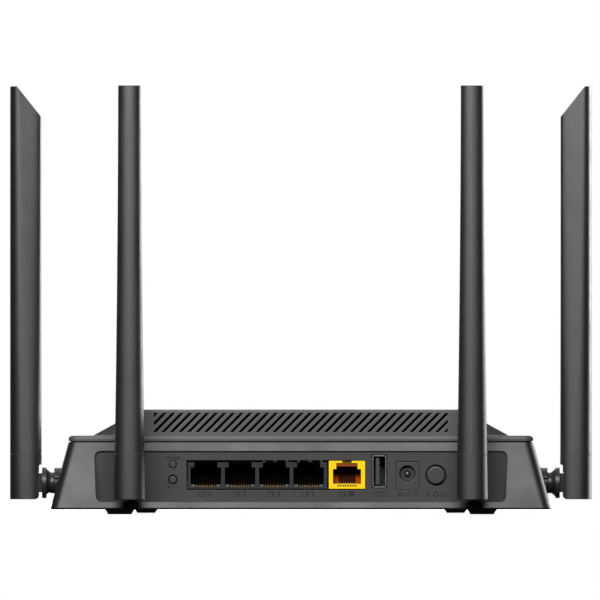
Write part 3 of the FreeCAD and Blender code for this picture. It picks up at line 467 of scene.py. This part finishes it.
def socket_mark():
    """Small picture of a network socket: a frame with a stepped latch."""
    rim = [(-1.25, -1.0), (1.25, -1.0), (1.25, 1.0), (-1.25, 1.0), (-1.25, -1.0)]
    latch = [(-0.75, -1.0), (-0.75, 0.1), (-0.35, 0.1), (-0.35, 0.5),
             (0.35, 0.5), (0.35, 0.1), (0.75, 0.1), (0.75, -1.0)]
    return [rim, latch]


def globe_mark():
    """Globe with its equator and three meridians."""
    radius = 1.15
    lines = [ring(0, 0, radius), [(-radius, 0), (radius, 0)], [(0, -radius), (0, radius)]]
    for bulge in (-0.62, 0.62):
        lines.append([(bulge * math.cos(math.radians(a)), radius * math.sin(math.radians(a)))
                      for a in range(-90, 91, 15)])
    return lines


def plug_mark():
    """Plain serial plug, lying on its side."""
    body = [(-2.1, -0.8), (0.5, -0.8), (0.5, 0.8), (-2.1, 0.8), (-2.1, -0.8)]
    tip = [(0.5, -0.5), (1.9, -0.5), (1.9, 0.5), (0.5, 0.5)]
    return [body, tip]


def polarity_mark():
    """Centre-positive sign: two poles joined to a barrel and its pin."""
    lines = [arc(0, 0, 0.95, 40.0, 320.0), ring(0, 0, 0.3)]
    for pole in (-2.9, 2.9):
        lines.append(ring(pole, 0, 0.8))
        lines.append([(pole - 0.4, 0), (pole + 0.4, 0)])
    lines.append([(-2.1, 0), (-0.95, 0)])
    lines.append([(0.3, 0), (2.1, 0)])
    lines.append([(2.9, -0.4), (2.9, 0.4)])
    return lines


def power_mark():
    """On stroke, standby sign and off ring."""
    standby = [arc(0, -0.1, 0.95, 125.0, 415.0), [(0, 0.1), (0, 1.15)]]
    return [[(-3.2, -0.95), (-3.2, 0.95)], ring(3.0, 0, 0.95)] + standby


def radio_mark():
    """Dot with waves of one height going out to the left and the right."""
    lines = [ring(0, 0, 0.3)]
    for radius in (1.1, 1.8, 2.5):
        half_turn = math.degrees(math.asin(0.75 / radius))
        for towards in (0.0, 180.0):
            lines.append(arc(0, 0, radius, towards - half_turn, towards + half_turn))
    return lines


def pairing_mark():
    """Two arrows that pass each other."""
    lines = []
    for side in (-1, 1):
        z = side * 0.38
        lines.append([(-2.1, z), (2.1, z)])
        lines.append([(side * 2.1, z), (side * 1.3, z + side * 0.55)])
    return lines


def make_mark(name, lines):
    """Raised strokes on the socket panel."""
    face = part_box("port_panel")[0].y
    bm = bmesh.new()
    for line in lines:
        points = [Vector((x * MM, face, z * MM)) for x, z in line]
        closed = (points[0] - points[-1]).length < NEAR
        sweep(bm, points[:-1] if closed else points, OUTWARDS, 0.15 * MM, 0.12 * MM, closed)
    piece(name, bm, MARK, "case", 50.0)


def make_marks():
    for i, x in enumerate(lan_centres()):
        lines = moved(socket_mark(), x - 1.5, MARK_Z) + moved(digit(4 - i), x + 1.6, MARK_Z)
        make_mark(f"mark_lan_{i + 1}", lines)
    x = middle("wan_jack").x / MM
    make_mark("mark_wan", moved(socket_mark(), x - 1.9, MARK_Z) + moved(globe_mark(), x + 1.7, MARK_Z))
    make_mark("mark_usb", moved(plug_mark(), middle("usb_shell").x / MM, MARK_Z))
    make_mark("mark_dc", moved(polarity_mark(), middle("dc_pin").x / MM, MARK_Z))
    make_mark("mark_power", moved(power_mark(), middle("power_button").x / MM, MARK_Z))
    spot = middle("wifi_button") / MM
    make_mark("mark_radio", moved(radio_mark(), spot.x, spot.z + OVER_BUTTON))
    spot = middle("wps_button") / MM
    make_mark("mark_pairing", moved(pairing_mark(), spot.x, spot.z - UNDER_BUTTON))


# ------------------------------------------------------------- inside the sockets
def block_into(bm, x_span, y_span, front_z, back_z=None):
    """Box in mm; its back face may span other heights than its front face."""
    verts = []
    for y, (z0, z1) in zip(y_span, (front_z, back_z or front_z)):
        for x, z in ((x_span[0], z0), (x_span[1], z0), (x_span[1], z1), (x_span[0], z1)):
            verts.append(bm.verts.new(Vector((x, y, z)) * MM))
    for face in ((0, 1, 2, 3), (7, 6, 5, 4), (0, 4, 5, 1), (1, 5, 6, 2), (2, 6, 7, 3), (3, 7, 4, 0)):
        bm.faces.new([verts[k] for k in face])


def block_piece(name, material, x_span, y_span, front_z, back_z=None):
    """One box of the case, as a piece of its own."""
    bm = bmesh.new()
    block_into(bm, x_span, y_span, front_z, back_z)
    piece(name, bm, material, "case", 30.0)


def sweep_wire(bm, x, face, z, slope):
    """One contact wire that rises from the lip towards the back of the socket."""
    start = 1.25
    points = [Vector((x, face + y, z + slope * (y - start))) * MM for y in (start, 3.5, 6.0, 8.9)]
    sweep(bm, points, SIDEWAYS, 0.14 * MM, 0.13 * MM)


def make_lan_insides():
    """Lip strips and spring wires in the mouths of the four ganged sockets."""
    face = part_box("lan_jack_block")[0].y / MM
    lips = bmesh.new()
    wires = bmesh.new()
    for x in lan_centres():
        for left, right in ((-5.75, -4.35), (4.35, 5.75)):
            block_into(lips, (x + left, x + right), (face - 0.05, face + 0.8), (11.2, 12.1))
        for offset in row(1.02):
            sweep_wire(wires, x + offset, face, WIRE_Z, 0.4)
    piece("lan_lip_strips", lips, LIP_GREY, "case", 30.0)
    piece("lan_spring_wires", wires, WIRE_DARK, "case", 30.0)


def make_wan_insides():
    """Ramp, comb, latch step, spring wires and dark slots of the single yellow socket; all but the wires are
    coloured with painted shade.
    """
    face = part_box("lan_jack_block")[0].y / MM
    x = middle("wan_jack").x / MM
    block_piece("wan_ramp", WAN_SHADED_YELLOW, (x - 5.6, x + 5.6), (face + 1.0, face + 9.5),
                (WIRE_Z, 12.5), (WIRE_Z, 16.7))
    block_piece("wan_comb", WAN_DEEP_SHADE, (x - 3.45, x + 3.45), (face + 0.8, face + 9.4),
                (WIRE_Z, 12.6), (WIRE_Z, 16.85))
    block_piece("wan_latch_step", WAN_SHADED_YELLOW, (x - 4.3, x + 4.3), (face + 0.7, face + 2.0), (19.55, 20.95))
    wires = bmesh.new()
    for offset in row(0.86):
        sweep_wire(wires, x + offset, face, WIRE_Z + 0.45, 0.506)
    piece("wan_spring_wires", wires, WIRE_BRIGHT, "case", 30.0)
    # Painted shade: dark blocks in the contact slots and in the latch notch.
    slots = bmesh.new()
    slot_y = (face - 0.03, face + 0.4)
    for offset in row(1.02):
        block_into(slots, (x + offset - 0.26, x + offset + 0.26), slot_y, (11.3, 11.95))
    block_into(slots, (x - 1.9, x + 1.9), slot_y, (21.0, 21.75))
    piece("wan_slot_shades", slots, WAN_DEEP_SHADE, "case")


def make_usb_gap_shade():
    """Thin black ring in the gap round the USB shell: painted shade of the gap."""
    low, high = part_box("usb_shell")
    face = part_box("port_panel")[0].y
    out = 0.25 * MM
    corners = [Vector((x, face, z)) for x, z in ((low.x - out, low.z - out), (high.x + out, low.z - out),
                                                  (high.x + out, high.z + out), (low.x - out, high.z + out))]
    bm = bmesh.new()
    sweep(bm, corners, OUTWARDS, 0.19 * MM, 0.05 * MM, True)
    piece("usb_gap_shade", bm, BLACK_RUBBER_AND_SHADE, "case")


def make_dc_collar_and_dark_reflection():
    """Black collar round the tip of the power pin, and a black ring close round the tip that is the pin's
    painted dark reflection.
    """
    low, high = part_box("dc_pin")
    tip = Vector(((low.x + high.x) / 2, low.y, (low.z + high.z) / 2))
    collar = [(0.9, 1.35), (0.9, 3.0), (1.6, 3.0), (1.6, 1.35)]
    lathe("dc_collar", collar, tip, INWARDS, BLACK, "case", 48)
    # Painted reflection: this black ring stands for the dark that the pin's metal reflects, leaving only its
    # bright tip.
    dark_reflection = [(0.1, 0.38), (-0.15, 0.42), (-0.15, 1.05), (0.1, 1.28), (3.0, 1.28), (3.0, 1.12), (0.7, 1.12)]
    lathe("dc_pin_dark_reflection", dark_reflection, tip, INWARDS, BLACK_RUBBER_AND_SHADE, "case", 48)


def make_underside_label():
    """Blank foil label with rounded corners, under the case between the front feet."""
    low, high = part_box("lower_shell")
    half_x = 40.0
    half_y = 10.0
    corner = 2.5
    below = 0.07
    into = 0.01
    centre_y = high.y / MM - 21.0
    outline = []
    for sx, sy, start in ((1, 1, 0.0), (-1, 1, 90.0), (-1, -1, 180.0), (1, -1, 270.0)):
        outline += arc(sx * (half_x - corner), centre_y + sy * (half_y - corner), corner,
                       start, start + 90.0, 6)
    bm = bmesh.new()
    layers = [[bm.verts.new((x * MM, y * MM, low.z + dz * MM)) for x, y in outline] for dz in (-below, into)]
    join_rings(bm, layers, False)
    bm.faces.new(layers[0])
    bm.faces.new(layers[1])
    piece("underside_label", bm, FOIL, "case")


make_groove_rings()
make_seam_beads()
make_marks()
make_lan_insides()
make_wan_insides()
make_dc_collar_and_dark_reflection()
make_usb_gap_shade()
make_underside_label()


# ---------------------------------------------------------------------- stage
FLOOR_R = 1.2
FLOOR_GLOW = 0.86           # of the floor near the object; further out it turns white
AMBIENT = 0.03              # strength of the world as a light


def make_floor():
    """Plain pale disc: it glows white far out, and near the object it takes a faint shadow."""
    bm = bmesh.new()
    bmesh.ops.create_circle(bm, cap_ends=True, segments=128, radius=FLOOR_R)
    mesh = bpy.data.meshes.new("floor")
    bm.to_mesh(mesh)
    bm.free()
    floor = bpy.data.objects.new("floor", mesh)
    bpy.context.scene.collection.objects.link(floor)
    floor.location.z = -0.0002
    graph = Graph("pale_floor")
    reach = graph.node("ShaderNodeVectorMath", {0: graph.place}, operation="LENGTH").outputs["Value"]
    glow = graph.node("ShaderNodeMapRange", {"Value": reach, "From Min": 0.25, "From Max": 0.7,
                                             "To Min": FLOOR_GLOW, "To Max": 1.05},
                      interpolation_type="SMOOTHSTEP")
    tone = graph.spread(graph.noise(3.0, 2.0), 0.0, 1.0)
    graph.set(Base_Color=graph.blend(tone, (0.70, 0.70, 0.70), (0.74, 0.74, 0.74)), Roughness=0.9,
              Specular_IOR_Level=0.1, Emission_Color=(1, 1, 1, 1), Emission_Strength=glow.outputs[0])
    paint(floor, graph.material)
    floor.visible_diffuse = False
    floor.visible_glossy = False


def make_world():
    """White to the camera, but only a dim even light on the object."""
    world = bpy.data.worlds.new("studio")
    bpy.context.scene.world = world
    world.use_nodes = True
    tree = world.node_tree
    tree.nodes.clear()
    path = tree.nodes.new("ShaderNodeLightPath")
    mix = tree.nodes.new("ShaderNodeMixShader")
    out = tree.nodes.new("ShaderNodeOutputWorld")
    tree.links.new(path.outputs["Is Camera Ray"], mix.inputs[0])
    for slot, strength in ((1, AMBIENT), (2, 1.0)):
        background = tree.nodes.new("ShaderNodeBackground")
        background.inputs["Color"].default_value = (1, 1, 1, 1)
        background.inputs["Strength"].default_value = strength
        tree.links.new(background.outputs[0], mix.inputs[slot])
    tree.links.new(mix.outputs[0], out.inputs["Surface"])


def soft_light(name, place, aim, size, watts, lit=None):
    """Rectangular soft box, not seen by the camera.

    With lit, it lights those objects only, and only the top cover shades them from it.
    """
    data = bpy.data.lights.new(name, "AREA")
    data.shape = "RECTANGLE"
    data.size, data.size_y = size
    data.energy = watts
    obj = bpy.data.objects.new(name, data)
    obj.location = place
    obj.rotation_mode = "QUATERNION"
    obj.rotation_quaternion = (Vector(aim) - Vector(place)).to_track_quat("-Z", "Y")
    obj.visible_camera = False
    bpy.context.scene.collection.objects.link(obj)
    if lit is not None:
        group = bpy.data.collections.new(name + "_lit")
        for target in lit:
            group.objects.link(target)
        obj.light_linking.receiver_collection = group
        solid = bpy.data.collections.new(name + "_shade")
        solid.objects.link(frame["nodes"]["top_cover"])
        obj.light_linking.blocker_collection = solid


make_floor()
make_world()
soft_light("key", (-0.12, -0.72, 0.42), (0, -0.05, 0.08), (0.85, 0.28), 9.8)
soft_light("rim", (0.90, 0.62, 0.30), (0, -0.02, 0.08), (0.30, 0.6), 15.0,
           [frame["nodes"][node] for node in FINISHES[ANTENNA] + ["lower_shell"]])
soft_light("top", (0.0, 0.35, 1.1), (0, 0.0, 0.0), (1.2, 0.8), 5.0)
soft_light("front", (0.0, 1.0, 0.42), (0, 0.0, 0.05), (1.5, 0.35), 11.0)


# --------------------------------------------------------------------- camera
VIEW_WIDTH = 0.24456        # metres across the frame at the socket panel
LENS = 1400.0               # so long that the view is almost parallel
SENSOR = 36.0
CAMERA_HEIGHT = 0.050       # low, so that the hump is seen edge on and the front feet show
AIM_HEIGHT = 0.08735
CAMERA_X = -0.00037


def make_camera():
    data = bpy.data.cameras.new("camera")
    data.sensor_width = SENSOR
    data.lens = LENS
    data.clip_start = 0.5
    data.clip_end = 200.0
    camera = bpy.data.objects.new("camera", data)
    bpy.context.scene.collection.objects.link(camera)
    aim = Vector((CAMERA_X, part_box("port_panel")[0][1], AIM_HEIGHT))
    camera.location = (CAMERA_X, aim.y - VIEW_WIDTH * LENS / SENSOR, CAMERA_HEIGHT)
    camera.rotation_mode = "QUATERNION"
    camera.rotation_quaternion = (aim - camera.location).to_track_quat("-Z", "Y")
    bpy.context.scene.camera = camera


make_camera()
bpy.context.scene.view_settings.view_transform = "Standard"
